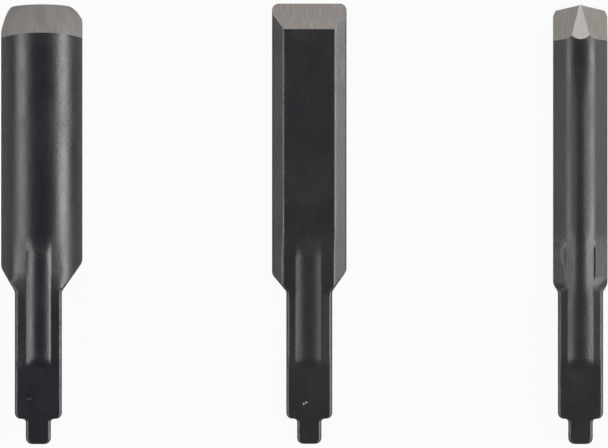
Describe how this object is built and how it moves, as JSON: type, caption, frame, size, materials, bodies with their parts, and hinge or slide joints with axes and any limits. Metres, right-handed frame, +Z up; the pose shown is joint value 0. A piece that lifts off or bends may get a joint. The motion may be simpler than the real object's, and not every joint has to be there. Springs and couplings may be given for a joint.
{
  "type": "carving blade set",
  "caption": "Loose carving blades for an electric carver: U gouge, flat chisel and V tool in blackened steel, each with a ground edge, a ribbed flat shank and a narrow tang.",
  "frame": {"origin": "centre of the row's footprint on the surface that the blades lie on", "axes": "+X along the row from the gouge to the V tool, +Y from the tangs to the cutting edges, +Z up from the surface"},
  "size_m": [0.0896, 0.065, 0.005],
  "materials": {
    "blackened_steel": "black oxide with a dull sheen, ground bright on the cutting bevels"
  },
  "bodies": {
    "chisel": {"chisel_blade": "blackened_steel"},
    "gouge": {"gouge_blade": "blackened_steel"},
    "v_tool": {"v_tool_blade": "blackened_steel"}
  },
  "joints": [
    {"name": "gouge_lift", "type": "slide", "parent": "chisel", "child": "gouge", "axis": [0, 0, 1], "range_m": [0, 0.04]},
    {"name": "v_tool_lift", "type": "slide", "parent": "chisel", "child": "v_tool", "axis": [0, 0, 1], "range_m": [0, 0.04]}
  ]
}
